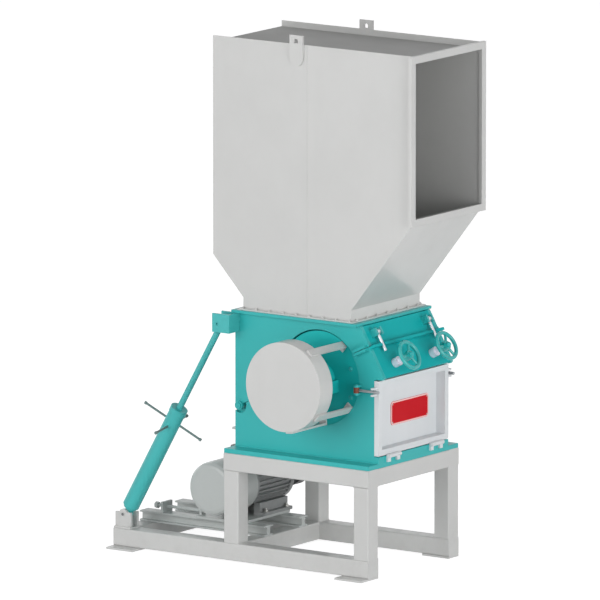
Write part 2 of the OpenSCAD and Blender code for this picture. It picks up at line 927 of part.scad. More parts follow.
module jack_sleeve() {
    color("mediumturquoise") on_jack() {
        difference() {
            union() {
                translate([0, 0, sleeve_low]) cylinder(h = sleeve_l, r = sleeve_r);
                translate([0, 0, sleeve_low + sleeve_l - 26]) cylinder(h = 34, r = sleeve_r + 3);
            }
            translate([0, 0, sleeve_low + 12]) cylinder(h = sleeve_l + 30, r = screw_r + 0.3);
        }
        for (i = [0, 1])
            rotate(10 + 90 * i) translate([0, 0, sleeve_low + bar_at + 22 * i])
                rotate([90, 0, 0]) {
                    difference() {
                        cylinder(h = bar_l, r = 6.5, center = true);
                        cylinder(h = 2 * sleeve_r - 8, r = 8, center = true);
                    }
                    for (end = [-1, 1])
                        translate([0, 0, end * (bar_l / 2 - 4)])
                            cylinder(h = 12, r = 9, center = true);
                }
    }
}

module jack_screw() {
    color("darkcyan") on_jack()
        difference() {
            union() {
                translate([0, 0, sleeve_low + sleeve_l - 170])
                    cylinder(h = jack_l - sleeve_low - sleeve_l + 170 - 20, r = screw_r);
                translate([0, 0, jack_l]) rotate([90, 0, 0])
                    cylinder(h = eye_w, r = jack_pin_r + head_slack + 10, center = true);
            }
            translate([0, 0, jack_l]) rotate([90, 0, 0])
                cylinder(h = eye_w + 2, r = jack_pin_r + head_slack, center = true);
        }
}

module jack_head_bracket() {
    at = jack_head_at;
    near = -wall_y - 2 * jack_out + 6;
    front = -chamber_rear + 30;
    low = at[1] - 46;
    color("darkcyan")
        difference() {
            union() {
                for (y = [near, -wall_y - head_cheek])
                    plate_y(y, y + head_cheek)
                        translate([at[0] - 34, low]) square([front - at[0] + 34, head_top - low]);
                block([at[0] + 42, near, low], [front, -wall_y, low + head_cheek]);
                block([front - head_cheek, near, low], [front, -wall_y, head_top]);
                rod_y(near, -wall_y, at, jack_pin_r);
            }
            rod_y(near - 1, near + 8, at, jack_pin_r - 3);
        }
}

// Upper housing
module upper_plates() {
    color("mediumturquoise") {
        block([-chamber_rear, -wall_in, hinge[1] + 46],
              [-chamber_rear + plate_t, wall_in, flange_top - top_flange_t]);
        on_slope(-wall_in)
            translate([-plate_t, 0, slope_l - split_down + 2])
                cube([plate_t, 2 * wall_in, split_down - 2]);
    }
}

module top_flange() {
    y = wall_y + top_flange_out;
    front = neck_front + top_flange_front_out;
    low = flange_top - top_flange_t;
    color("mediumturquoise")
        difference() {
            block([top_flange_rear, -y, low], [front, y, flange_top]);
            block([-neck_rear, -hopper_w / 2 + sheet, low - 1],
                  [neck_front, hopper_w / 2 - sheet, flange_top + 1]);
        }
}

module clamp_bolts() {
    both_sides() on_slope(-clamp_y) {
        color("silver") {
            translate([26, 0, clamp_pivot - 116]) cylinder(h = 116, r = 9);
            translate([26, 0, clamp_pivot]) rotate([90, 0, 0])
                cylinder(h = 30, r = 15, center = true);
        }
        color("darkcyan") {
            for (y = [-30, 15.5])
                translate([0, y, clamp_pivot - 22]) cube([44, 14.5, 44]);
            translate([26, 0, clamp_pivot]) rotate([90, 0, 0])
                cylinder(h = 64, r = 7, center = true);
        }
    }
}

// Side view of the hopper, in X and Z
module hopper_side() {
    base = hopper_base;
    polygon([[-neck_rear, base], [neck_front, base], [neck_front, base + neck_h],
             [hopper_front_x, base + front_slope_h], [hopper_front_x, hopper_top_z],
             [-hopper_rear_x, hopper_top_z], [-hopper_rear_x, base + rear_slope_h],
             [-neck_rear, base + neck_h]]);
}

module lifting_lug() {
    x = -66;
    low = hopper_top_z - 122;
    plate_y(-sheet_y - 12, -sheet_y)
        difference() {
            union() {
                translate([x - lug_w / 2, low + lug_w / 2]) square([lug_w, lug_h - lug_w / 2]);
                translate([x, low + lug_w / 2]) circle(lug_w / 2);
            }
            translate([x, low + lug_h - 32]) circle(13);
            translate([x - 13, low + lug_h - 45]) square([26, 13]);
        }
}

module hopper_sides() {
    color("gainsboro") both_sides() {
        plate_y(-sheet_y, -sheet_y + sheet) hopper_side();
        lifting_lug();
    }
}

// Unit vector to the left of the run from a to b
function left_of(a, b) = let(run = b - a) [-run[1], run[0]] / norm(run);

// The sheet's other face: the line moved left, with its corners mitred
function moved_left(line) =
    let(last = len(line) - 1)
    [for (i = [0 : last])
        let(before = left_of(line[max(i - 1, 0)], line[max(i - 1, 0) + 1]),
            after = left_of(line[min(i, last - 1)], line[min(i, last - 1) + 1]))
        line[i] + sheet * (before + after) / (1 + before * after)];

// Folded sheet between the side walls, along an open line in X and Z
module folded(line) {
    other = moved_left(line);
    plate_y(-sheet_y + sheet, sheet_y - sheet)
        polygon(concat(line, [for (i = [len(line) - 1 : -1 : 0]) other[i]]));
}

module hopper_front() {
    color("gainsboro")
        folded([[neck_front, hopper_base], [neck_front, hopper_base + neck_h],
                [hopper_front_x, hopper_base + front_slope_h]]);
}

module hopper_rear() {
    color("gainsboro")
        folded([[-hopper_rear_x, hopper_top_z - top_recess - sheet],
                [-hopper_rear_x, hopper_base + rear_slope_h],
                [-neck_rear, hopper_base + neck_h], [-neck_rear, hopper_base]]);
}

module hopper_top() {
    high = hopper_top_z - top_recess;
    color("gainsboro")
        block([-hopper_rear_x, -sheet_y + sheet, high - sheet],
              [hopper_front_x, sheet_y - sheet, high]);
}

module hopper_base_flange() {
    out = 24;
    color("silver")
        difference() {
            block([-neck_rear - out, -sheet_y - out, flange_top],
                  [neck_front + out, sheet_y + out, hopper_base]);
            block([-neck_rear + sheet, -sheet_y + sheet, flange_top - 1],
                  [neck_front - sheet, sheet_y - sheet, hopper_base + 1]);
        }
}

module feed_frame() {
    y = sheet_y + 31;
    low = hopper_base + front_slope_h - 2;
    x0 = hopper_front_x;
    x1 = x0 + feed_frame_d;
    color("gainsboro")
        difference() {
            block([x0, -y, low], [x1, y, hopper_top_z]);
            block([x0 - 1, -y + feed_frame_w, low + feed_frame_w],
                  [x1 + 1, y - feed_frame_w, hopper_top_z - feed_frame_w]);
            // Hollow back of the angle, outside the hopper's walls
            difference() {
                block([x0 - 1, -y + 5, low + 5], [x1 - 5, y - 5, hopper_top_z - 5]);
                block([x0 - 2, -y + feed_frame_w - 12, low + feed_frame_w - 12],
                      [x1, y - feed_frame_w + 12, hopper_top_z - feed_frame_w + 12]);
            }
        }
}

translate(-middle) {
    foot_plates();
    side_rails();
    cross_rails();
    legs();
    motor_slide();
    motor_body();
    motor_cowl();
    motor_pulley();
    base_plate();
    lower_side_walls();
    lower_end_walls();
    lower_slope_plate();
    rear_hinge();
    rear_cover();
    bearings();
    door_ears();
    screen();
    bed_knives();
    rotor();
    flywheel();
    rotor_pulley();
    drive_belts();
    shaft_guard();
    guard_arms();
    screen_door();
    door_hinge();
    near_latch();
    far_latch();
    near_handwheel();
    far_handwheel();
    jack_base();
    jack_foot();
    jack_sleeve();
    jack_screw();
    jack_head_bracket();
    upper_side_walls();
    upper_plates();
    top_flange();
    clamp_bolts();
    hopper_base_flange();
    hopper_sides();
    hopper_front();
    hopper_rear();
    hopper_top();
    feed_frame();
}
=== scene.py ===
"""Looks and small details of the plastic grinder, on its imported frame.

The CAD pieces take procedural finishes, and the door's red plate, the bolts, the
weld beads and the nuts are added here. Lengths are in metres, and Z points up.
"""
import json
import math

import bmesh
import bpy
from mathutils import Matrix, Vector


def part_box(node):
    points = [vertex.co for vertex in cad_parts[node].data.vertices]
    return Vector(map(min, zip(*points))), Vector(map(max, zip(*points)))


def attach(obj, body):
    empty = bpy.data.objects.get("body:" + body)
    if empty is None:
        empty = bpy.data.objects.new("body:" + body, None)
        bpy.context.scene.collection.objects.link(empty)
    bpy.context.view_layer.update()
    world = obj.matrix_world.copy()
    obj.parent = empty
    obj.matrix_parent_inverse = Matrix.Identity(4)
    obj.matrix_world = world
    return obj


X, Y, Z = Vector((1, 0, 0)), Vector((0, 1, 0)), Vector((0, 0, 1))

# The photograph's view. Its lines stay parallel, so the lens is very long.
VIEW_AZIMUTH = 35
VIEW_ELEVATION = 10
VIEW_TARGET = Vector((-0.282, 0, 1.446))  # from the middle of the stand, on the floor
VIEW_WIDTH = 3.36
LENS = 800
SENSOR = 36
CLIP_END = 400

# Paints and metals, as sRGB out of 255
GREY = (206, 206, 204)
# Painted shade: the hopper's grey paint, made darker on its top plate
HOPPER_TOP_SHADED_GREY = (196, 196, 193)
DOOR_GREY = (226, 229, 231)
MOTOR_GREY = (152, 154, 154)
COWL_GREY = (192, 196, 194)
TEAL = (52, 183, 182)
TEAL_DARK = (18, 146, 146)
TEAL_SLOPE = (26, 180, 181)
# Painted sheen: the jack's teal paint, paler and less saturated than the teal elsewhere to stand
# for its highlights
TEAL_JACK_SHEEN = (74, 188, 187)
# Painted light: the bearings' teal, made lighter and more saturated than the walls' teal to
# stand for light that the guard's shadow takes away
TEAL_BEARING_LIGHTENED = (26, 190, 188)
TEAL_WHEEL = (34, 182, 178)
PLATE_RED = (208, 18, 32)
RIM_PINK = (255, 206, 204)
STEEL_GREY = (170, 172, 175)
BLADE_GREY = (190, 193, 198)
PLATED_GREY = (182, 182, 178)
CLAMP_GREY = (214, 216, 220)
# Partly the spindle boss's own bright metal, partly painted reflection: a near-white, slightly
# lilac paint with little metal stands for its reflections
BOSS_WHITE_REFLECTION = (240, 238, 250)
BAR_GREY = (104, 128, 126)
IRON_GREY = (104, 106, 108)
RUBBER_BLACK = (34, 34, 33)
GRIP_BROWN = (128, 66, 48)
DUST_BROWN = (112, 104, 92)

# Sheen of most of the teal paint
SATIN = {"rough": 0.40, "coat": 0.12, "specular": 0.3}

# Sizes of the CAD that its boxes and joints don't give
TUBE = 0.1             # width of the stand's tube
WALL_OUT = 0.342       # from the middle to the outside of the chamber's walls
HOPPER_OUT = 0.335     # from the middle to the outside of the hopper's sides
RECESS = 0.010         # depth of the bearing plates in those walls
CLAMP_OUT = 0.25       # from the middle to each clamp bolt
CLAMP_GAP = 0.0148     # from a clamp bolt's axis to its cheeks
SPINDLE_TOP = 0.086    # from a handwheel's joint to the top of its bright boss
HUB_TOP = 0.1222       # from a handwheel's joint to its hub's outer face
GRIP_LENGTH = 0.036    # of the brown sleeve at each latch's pivot
SLEEVE_EDGE = 0.0515   # from the jack's axis, just past its sleeve
THREAD_PITCH = 0.012   # of the jack's screw

# Numbers of the colour sockets of a Mix node
MIX_A, MIX_B, MIX_RESULT = 6, 7, 2


def linear(rgb):
    """A colour written as sRGB out of 255, as the shader's linear values."""
    def one(c):
        c /= 255
        return c / 12.92 if c <= 0.04045 else ((c + 0.055) / 1.055) ** 2.4
    return tuple(one(c) for c in rgb) + (1,)


def shade(colour, amount):
    """A linear colour times an amount."""
    return tuple(c * amount for c in colour[:3]) + (1,)


def flat_grey(value):
    """A linear grey."""
    return (value, value, value, 1)


class Wire:
    """A socket of a node tree, so that sums on it read as plain Python."""

    def __init__(self, nodes, socket):
        self.nodes = nodes
        self.socket = socket

    def __add__(self, other):
        return self.nodes.math("ADD", self, other)

    def __mul__(self, other):
        return self.nodes.math("MULTIPLY", self, other)

    def __sub__(self, other):
        return self.nodes.math("SUBTRACT", self, other)

    def __rsub__(self, other):
        return self.nodes.math("SUBTRACT", other, self)

    def __gt__(self, other):
        return self.nodes.math("GREATER_THAN", self, other)

    def __lt__(self, other):
        return self.nodes.math("LESS_THAN", self, other)

    __radd__ = __add__
    __rmul__ = __mul__

    def sin(self):
        return self.nodes.math("SINE", self)

    def abs(self):
        return self.nodes.math("ABSOLUTE", self)

    def larger(self, other):
        return self.nodes.math("MAXIMUM", self, other)

    def step(self, low, high):
        """0 below low, 1 over high and smooth between them."""
        return self.nodes.add("ShaderNodeMapRange", "Result",
                              {"interpolation_type": "SMOOTHSTEP"},
                              {"Value": self, "From Min": low, "From Max": high})


class Nodes:
    """The nodes of the world or of a material, built up by calls."""

    def __init__(self, tree):
        self.tree = tree

    def add(self, kind, output, settings=None, inputs=None):
        """One node of that kind; gives its output of that name or number."""
        node = self.tree.nodes.new(kind)
        for key, value in (settings or {}).items():
            setattr(node, key, value)
        for key, value in (inputs or {}).items():
            self.feed(node.inputs[key], value)
        return Wire(self, node.outputs[output])

    def feed(self, socket, value):
        if isinstance(value, Wire):
            self.tree.links.new(value.socket, socket)
        else:
            socket.default_value = value

    def math(self, operation, a, b=0.0):
        return self.add("ShaderNodeMath", 0, {"operation": operation}, {0: a, 1: b})

    def vector(self, operation, output, a, b=None):
        """Vector Math on a, and on b where the operation takes two."""
        inputs = {0: a} if b is None else {0: a, 1: b}
        return self.add("ShaderNodeVectorMath", output, {"operation": operation}, inputs)

    def mix(self, factor, a, b):
        """Colour a, turning to b as factor goes to 1."""
        return self.add("ShaderNodeMix", MIX_RESULT, {"data_type": "RGBA"},
                        {"Factor": factor, MIX_A: a, MIX_B: b})

    def seen_rays(self):
        """1 for rays that show the background itself, or show it in gloss or glass."""
        camera_ray, glossy, through = (
            self.add("ShaderNodeLightPath", kind)
            for kind in ("Is Camera Ray", "Is Glossy Ray", "Is Transmission Ray"))
        return camera_ray.larger(glossy).larger(through)


class Finish(Nodes):
    """A material with one Principled shader."""

    def __init__(self, name, rough, metal=0.0, coat=0.0, specular=0.5):
        self.material = bpy.data.materials.new(name)
        self.material.use_nodes = True
        super().__init__(self.material.node_tree)
        self.shader = self.tree.nodes["Principled BSDF"]
        self.set("Roughness", rough)
        self.set("Metallic", metal)
        self.set("Coat Weight", coat)
        self.set("Coat Roughness", 0.12)
        self.set("Specular IOR Level", specular)
        self.place = self.add("ShaderNodeTexCoord", "Object")

    def set(self, socket, value):
        self.feed(self.shader.inputs[socket], value)

    def noise(self, scale, detail=3.0, rough=0.5, stretch=(1, 1, 1)):
        """Noise of that many spots a metre, drawn out along the axes by stretch."""
        place = self.add("ShaderNodeMapping", "Vector", None,
                         {"Vector": self.place, "Scale": stretch})
        return self.add("ShaderNodeTexNoise", "Fac", None,
                        {"Vector": place, "Scale": scale, "Detail": detail,
                         "Roughness": rough})

    def offset(self, start):
        """The way from a point of the frame to the shaded point."""
        return self.vector("SUBTRACT", "Vector", self.place, tuple(start))

    def along(self, direction, start=(0, 0, 0)):
        """Distance along a direction, from a point of the frame."""
        return self.vector("DOT_PRODUCT", "Value", self.offset(start), tuple(direction))

    def away(self, direction, start):
        """Distance from the line that runs through a point in a direction."""
        across = self.vector("CROSS_PRODUCT", "Vector", self.offset(start),
                             tuple(direction))
        return self.vector("LENGTH", "Value", across)

    def bump(self, height, strength, distance, edge=0.0015):
        """Relief from height, over edges that catch the light as if rounded."""
        soft = self.add("ShaderNodeBevel", "Normal", {"samples": 4}, {"Radius": edge})
        self.set("Normal", self.add("ShaderNodeBump", "Normal", None,
                                    {"Height": height, "Strength": strength,
                                     "Distance": distance, "Normal": soft}))


def paint(name, colour, rough, dust=0.06, coat=0.25, specular=0.5):
    """Sprayed machine paint: cloudy tone, orange peel, and dust low down."""
    f = Finish(name, rough, coat=coat, specular=specular)
    base = linear(colour)
    cloud = f.noise(2.6, detail=4.0).step(0.35, 0.7)
    streak = f.noise(9.0, stretch=(1, 1, 0.12)).step(0.55, 0.8)
    fine = f.noise(60.0)
    tone = f.mix(cloud * 0.22 + streak * 0.10, base, shade(base, 0.84))
    low = 1 - f.along(Z).step(0.0, 0.55)
    dirt = f.noise(16.0, detail=5.0, rough=0.65).step(0.42, 0.72) * (low * 0.7 + 0.18)
    f.set("Base Color", f.mix(dirt * dust, tone, linear(DUST_BROWN)))
    f.set("Roughness", cloud * 0.08 + dirt * 0.2 + fine * 0.06 + (rough - 0.07))
    peel, dents = f.noise(420.0, detail=2.0), f.noise(5.0, detail=2.0)
    f.bump(peel * 0.25 + dents * 0.5, strength=0.10, distance=0.0005)
    return f


def bare_steel(name, colour, rough=0.32, grain=(1, 1, 1)):
    """Machined or plated steel with a fine grain."""
    f = Finish(name, rough, metal=0.9)
    base = linear(colour)
    stain = f.noise(22.0, detail=4.0, rough=0.6).step(0.45, 0.75)
    f.set("Base Color", f.mix(stain * 0.35, base, shade(base, 0.62)))
    f.set("Roughness",
          f.noise(70.0, stretch=grain) * 0.16 + stain * 0.1 + (rough - 0.08))
    f.bump(f.noise(260.0, detail=2.0, stretch=grain), strength=0.16, distance=0.0004)
    return f


def cast_paint(name, colour):
    """Matt paint on a rough casting."""
    f = Finish(name, 0.5, coat=0.05)
    base = linear(colour)
    spots = f.noise(34.0, detail=4.0, rough=0.6)
    f.set("Base Color", f.mix(spots.step(0.4, 0.75) * 0.3, base, shade(base, 0.74)))
    f.set("Roughness", spots * 0.2 + 0.38)
    f.bump(f.noise(150.0) + spots * 0.8, strength=0.3, distance=0.0009)
    return f


def thread(f, direction, start, pitch):
    """Gives a paint the relief of a screw thread along a direction."""
    wave = (f.along(direction, start) * (2 * math.pi / pitch)).sin()
    f.bump(wave * 0.5 + f.noise(300.0, detail=2.0) * 0.1, strength=0.8, distance=0.0022)


def assign(node, finish):
    """A CAD node takes this finish."""
    data = frame["nodes"][node].data
    data.materials.clear()
    data.materials.append(finish.material)


def piece(name, body, finish, mesh_maker, smooth=30):
    """A new piece from a mesh maker, riding on a body."""
    mesh = bmesh.new()
    mesh_maker(mesh)
    bmesh.ops.recalc_face_normals(mesh, faces=mesh.faces)
    data = bpy.data.meshes.new(name)
    mesh.to_mesh(data)
    mesh.free()
    data.materials.append(finish.material)
    data.shade_smooth()
    thing = bpy.data.objects.new(name, data)
    bpy.context.scene.collection.objects.link(thing)
    edges = thing.modifiers.new("edges", "EDGE_SPLIT")
    edges.split_angle = math.radians(smooth)
    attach(thing, body)


def aim(at, normal, turn=0.0):
    """Matrix that puts Z along a normal at a point."""
    facing = Vector(normal).to_track_quat("Z", "Y").to_matrix().to_4x4()
    return Matrix.Translation(at) @ facing @ Matrix.Rotation(turn, 4, "Z")


def turned(mesh, place, rings, sides):
    """Solid of revolution: rings are (radius, height) pairs along the local Z."""
    angles = [2 * math.pi * i / sides for i in range(sides)]
    loops = [[place @ Vector((radius * math.cos(a), radius * math.sin(a), height))
              for a in angles] for radius, height in rings]
    cap(mesh, skin(mesh, loops))


def skin(mesh, loops, closed=False):
    """Joins loops of points into a skin, round to the first one if closed."""
    rows = [[mesh.verts.new(point) for point in loop] for loop in loops]
    if closed:
        rows.append(rows[0])
    for low, high in zip(rows, rows[1:]):
        for i in range(len(low)):
            j = (i + 1) % len(low)
            mesh.faces.new((low[i], low[j], high[j], high[i]))
    return rows


def cap(mesh, rows):
    """Closes a skin at its first and last rows."""
    mesh.faces.new(list(reversed(rows[0])))
    mesh.faces.new(rows[-1])


def hex_bolt(mesh, at, normal, across, turn, shank=0.0):
    """Hexagon head on a washer, with the bolt's end if it has a shank.

    Its turn is in radians. Calls give a coordinate as turn where each bolt of a row
    should stand at an angle of its own.
    """
    r = across / math.sqrt(3)
    place = aim(at, normal, turn)
    washer = [(r * 1.25, -0.0004), (r * 1.25, 0.0016), (r * 1.15, 0.0024)]
    head = [(r * 0.98, 0.002), (r, 0.0035), (r, 0.42 * across),
            (r * 0.84, 0.55 * across), (r * 0.5, 0.57 * across)]
    turned(mesh, place, washer, 24)
    turned(mesh, place, head, 6)
    if shank:
        foot = 0.5 * across
        turned(mesh, place, [(r * 0.52, foot), (r * 0.52, foot + shank),
                             (r * 0.42, foot + shank + 0.001)], 16)


def weld(mesh, a, b, radius, ripple=0.011):
    """Weld bead from a to b, with the ripples of its run and thin ends."""
    a, b = Vector(a), Vector(b)
    length = (b - a).length
    steps = max(4, int(length / ripple * 2))
    rings = []
    for i in range(steps + 1):
        swell = 1.16 if i % 2 else 0.90
        if i in (0, steps):
            swell = 0.45
        rings.append((radius * swell, length * i / steps))
    turned(mesh, aim(a, b - a), rings, 8)


def span(start, stop, count):
    """Evenly spaced places from start to stop."""
    return [start + (stop - start) * i / (count - 1) for i in range(count)]


def corners(a, b):
    """The four pairs of plus or minus a and plus or minus b."""
    return [(sa * a, sb * b) for sa in (-1, 1) for sb in (-1, 1)]


def diagonals():
    """The four angles halfway between the axes."""
    return [math.radians(45 + 90 * quarter) for quarter in range(4)]


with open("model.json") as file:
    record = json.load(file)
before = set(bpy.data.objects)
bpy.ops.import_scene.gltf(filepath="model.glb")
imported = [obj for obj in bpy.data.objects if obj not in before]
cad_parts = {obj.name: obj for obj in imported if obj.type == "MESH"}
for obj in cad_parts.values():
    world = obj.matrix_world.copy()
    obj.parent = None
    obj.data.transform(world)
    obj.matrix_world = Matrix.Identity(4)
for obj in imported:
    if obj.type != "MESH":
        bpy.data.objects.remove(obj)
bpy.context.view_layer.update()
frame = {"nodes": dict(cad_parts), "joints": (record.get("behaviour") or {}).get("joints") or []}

# Corners of the CAD pieces that details sit on, and places on its joints
lo = {n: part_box(n)[0] for n in frame["nodes"]}
hi = {n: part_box(n)[1] for n in frame["nodes"]}
JOINTS = {j["name"]: j for j in frame["joints"]}
MIDDLE = (lo["legs"] + hi["legs"]) / 2
MIDDLE.z = 0
ROTOR = Vector(JOINTS["rotor_spin"]["pos_m"])
MOTOR = Vector(JOINTS["motor_spin"]["pos_m"])
NEAR_WHEEL = Vector(JOINTS["near_handwheel_turn"]["pos_m"])
SLOPE_OUT = Vector(JOINTS["near_handwheel_turn"]["axis"]).normalized()
JACK_UP = Vector(JOINTS["jack_travel"]["axis"]).normalized()
JACK_FOOT = Vector(JOINTS["jack_swing"]["pos_m"])


def camera():
    """The photograph's view."""
    a, e = math.radians(VIEW_AZIMUTH), math.radians(VIEW_ELEVATION)
    back = Vector((math.sin(a) * math.cos(e), -math.cos(a) * math.cos(e), math.sin(e)))
    data = bpy.data.cameras.new("photo_view")
    data.lens = LENS
    data.sensor_width = SENSOR
    data.clip_end = CLIP_END
    view = bpy.data.objects.new("photo_view", data)
    view.location = MIDDLE + VIEW_TARGET + back * (VIEW_WIDTH * LENS / SENSOR)
    view.rotation_mode = "QUATERNION"
    view.rotation_quaternion = (-back).to_track_quat("-Z", "Y")
    bpy.context.scene.collection.objects.link(view)
    bpy.context.scene.camera = view


def softbox(name, offset, height, size, watts):
    """Square lamp at an offset from the stand's middle, looking there at a height."""
    data = bpy.data.lights.new(name, "AREA")
    data.size = size
    data.energy = watts
    lamp = bpy.data.objects.new(name, data)
    at = MIDDLE + Vector(offset)
    lamp.location = at
    lamp.rotation_mode = "QUATERNION"
    lamp.rotation_quaternion = (MIDDLE + Z * height - at).to_track_quat("-Z", "Y")
    bpy.context.scene.collection.objects.link(lamp)


def surroundings():
    """White studio, darker overhead, and a pale floor that keeps the shadow."""
    world = bpy.data.worlds.new("studio")
    bpy.context.scene.world = world
    world.use_nodes = True
    sky = Nodes(world.node_tree)
    up = sky.vector("DOT_PRODUCT", "Value",
                    sky.add("ShaderNodeTexCoord", "Generated"), (0, 0, 1))
    glow = sky.mix(up.step(-0.05, 0.85), (1.0, 1.01, 1.02, 1), (0.10, 0.10, 0.11, 1))
    sky.feed(world.node_tree.nodes["Background"].inputs["Color"],
             sky.mix(sky.seen_rays(), glow, flat_grey(1)))

    bpy.ops.mesh.primitive_plane_add(size=160)
    floor = bpy.context.object
    floor.name = "floor"
    f = Finish("pale_floor", 0.8, specular=0.1)
    seen = f.seen_rays()
    f.set("Base Color", f.mix(seen, flat_grey(0.75), flat_grey(0.35)))
    f.set("Emission Color", f.mix(seen, flat_grey(0), flat_grey(0.90)))
    f.set("Emission Strength", 1.0)
    floor.data.materials.append(f.material)

    softbox("front", (-1.6, -9.0, 3.4), height=1.4, size=6.0, watts=345)
    softbox("side", (9.0, -2.4, 1.4), height=1.3, size=5.0, watts=400)
    softbox("rear", (-8.0, 4.0, 3.5), height=1.3, size=5.0, watts=90)


def finishes():
    """Every finish that several pieces share, by a short name."""
    made = {
        "grey": paint("grey_paint", GREY, rough=0.34),
        # The hopper's top plate takes a darker copy of the grey paint, as painted shade
        "grey_top_shaded": paint("hopper_top_shaded_paint", HOPPER_TOP_SHADED_GREY, rough=0.6, coat=0.0,
                          specular=0.15),
        "teal": paint("teal_paint", TEAL, **SATIN),
        "teal_slope": paint("slope_teal_paint", TEAL_SLOPE, rough=0.45, coat=0.0,
                            specular=0.06),
        # The jack's paler teal is painted sheen
        "teal_jack_sheen": paint("jack_teal_sheen_paint", TEAL_JACK_SHEEN, **SATIN),
        # The bearings' teal is lightened as painted light, against the guard's shadow
        "teal_bearing_lit": paint("bearing_lit_teal_paint", TEAL_BEARING_LIGHTENED, rough=0.45, coat=0.0,
                           specular=0.2),
        "door": paint("door_paint", DOOR_GREY, rough=0.38, coat=0.15, specular=0.3),
        "motor": cast_paint("motor_paint", MOTOR_GREY),
        "cowl": paint("cowl_paint", COWL_GREY, rough=0.42),
        "iron": cast_paint("pulley_iron", IRON_GREY),
        "steel": bare_steel("bare_steel", STEEL_GREY),
        "blade": bare_steel("blade_steel", BLADE_GREY, rough=0.24, grain=(1, 0.05, 1)),
        "plated": bare_steel("plated_bolts", PLATED_GREY, rough=0.3),
        "rubber": cast_paint("belt_rubber", RUBBER_BLACK),
        "plate": paint("red_plate", PLATE_RED, rough=0.5, coat=0.0, dust=0.02,
                       specular=0.12),
        "rim": paint("plate_rim_paint", RIM_PINK, rough=0.4, dust=0.02),
        # The screw's paler teal is painted sheen, as on the rest of the jack
        "screw": paint("jack_screw_sheen_paint", TEAL_JACK_SHEEN, rough=0.4, coat=0.1, specular=0.3),
    }
    thread(made["screw"], JACK_UP, JACK_FOOT, THREAD_PITCH)
    return made


def latch_finish():
    """Plated latch rod with a brown pivot sleeve."""
    f = Finish("latch_rod_and_grip", 0.35, metal=0.9)
    grip = f.along(X) < (lo["near_latch"].x + GRIP_LENGTH)
    f.set("Base Color", f.mix(grip, linear(STEEL_GREY), linear(GRIP_BROWN)))
    f.set("Metallic", 0.9 - grip * 0.9)
    f.set("Roughness", f.noise(90.0) * 0.15 + grip * 0.25 + 0.26)
    f.bump(f.noise(320.0, detail=2.0), strength=0.15, distance=0.0005, edge=0.001)
    return f


def handwheel_finish():
    """Teal rim and spokes on a bright spindle boss, whose near-white paint is partly painted
    reflection.
    """
    f = Finish("handwheel_teal_and_spindle", 0.3, coat=0.3)
    wheel = f.along(SLOPE_OUT, NEAR_WHEEL) > SPINDLE_TOP
    cloud = f.noise(20.0)
    teal = f.mix(cloud * 0.5, linear(TEAL_WHEEL), linear(TEAL_DARK))
    # The boss's near-white, with little metal, is partly painted reflection
    f.set("Base Color", f.mix(wheel, linear(BOSS_WHITE_REFLECTION), teal))
    f.set("Metallic", 0.15 - wheel * 0.15)
    f.set("Roughness", cloud * 0.12 + 0.22)
    f.bump(f.noise(300.0, detail=2.0), strength=0.12, distance=0.0004)
    return f


def sleeve_finish():
    """Teal sleeve with grey handle bars."""
    # The sleeve's paler teal is painted sheen
    f = paint("sleeve_sheen_paint", TEAL_JACK_SHEEN, **SATIN)
    bar = f.away(JACK_UP, JACK_FOOT) > SLEEVE_EDGE
    teal = f.mix(f.noise(4.0) * 0.3, linear(TEAL_JACK_SHEEN), linear(TEAL_DARK))
    f.set("Base Color", f.mix(bar, teal, linear(BAR_GREY)))
    return f


def clamp_finish():
    """Bright swing bolts between teal cheeks."""
    f = Finish("clamp_bolt_and_cheeks", 0.3, coat=0.2)
    bolt = (f.along(Y, MIDDLE).abs() - CLAMP_OUT).abs() < CLAMP_GAP
    cloud = f.noise(24.0)
    teal = f.mix(cloud * 0.5, linear(TEAL), linear(TEAL_DARK))
    f.set("Base Color", f.mix(bolt, teal, linear(CLAMP_GREY)))
    f.set("Metallic", bolt * 0.85)
    f.set("Roughness", cloud * 0.12 + 0.22)
    f.bump(f.noise(300.0, detail=2.0), strength=0.1, distance=0.0004)
    return f


def dress_nodes(made):
    """The CAD pieces take their finishes."""
    dress = {
        "grey": ["foot_plates", "side_rails", "cross_rails", "legs", "hopper_sides",
                 "hopper_front", "hopper_rear", "feed_frame", "hopper_base_flange",
                 "shaft_guard", "guard_arms", "rear_cover", "jack_base"],
        "grey_top_shaded": ["hopper_top"],
        "teal": ["base_plate", "lower_side_walls", "lower_end_walls", "rear_hinge",
                 "upper_side_walls", "top_flange"],
        "teal_slope": ["lower_slope_plate", "upper_plates"],
        "teal_jack_sheen": ["jack_foot", "jack_head_bracket"],
        "teal_bearing_lit": ["bearings"],
        "screw": ["jack_screw"],
        "door": ["screen_door", "door_ears", "door_hinge"],
        "motor": ["motor_body"],
        "cowl": ["motor_cowl", "motor_slide"],
        "iron": ["motor_pulley", "rotor_pulley", "flywheel"],
        "steel": ["screen"],
        "blade": ["rotor", "bed_knives"],
        "rubber": ["drive_belts"],
    }
    for name, nodes in dress.items():
        for node in nodes:
            assign(node, made[name])
    mixed = {
        latch_finish: ["near_latch", "far_latch"],
        handwheel_finish: ["near_handwheel", "far_handwheel"],
        sleeve_finish: ["jack_sleeve"],
        clamp_finish: ["clamp_bolts"],
    }
    for make_finish, nodes in mixed.items():
        for node in nodes:
            assign(node, make_finish())


def rounded(half_y, half_z, corner):
    """Outline of a rectangle with round corners, as (y, z) pairs."""
    outline = []
    for cy, cz, start in ((1, 1, 0), (-1, 1, 90), (-1, -1, 180), (1, -1, 270)):
        for t in span(math.radians(start), math.radians(start + 90), 7):
            outline.append((cy * (half_y - corner) + corner * math.cos(t),
                            cz * (half_z - corner) + corner * math.sin(t)))
    return outline


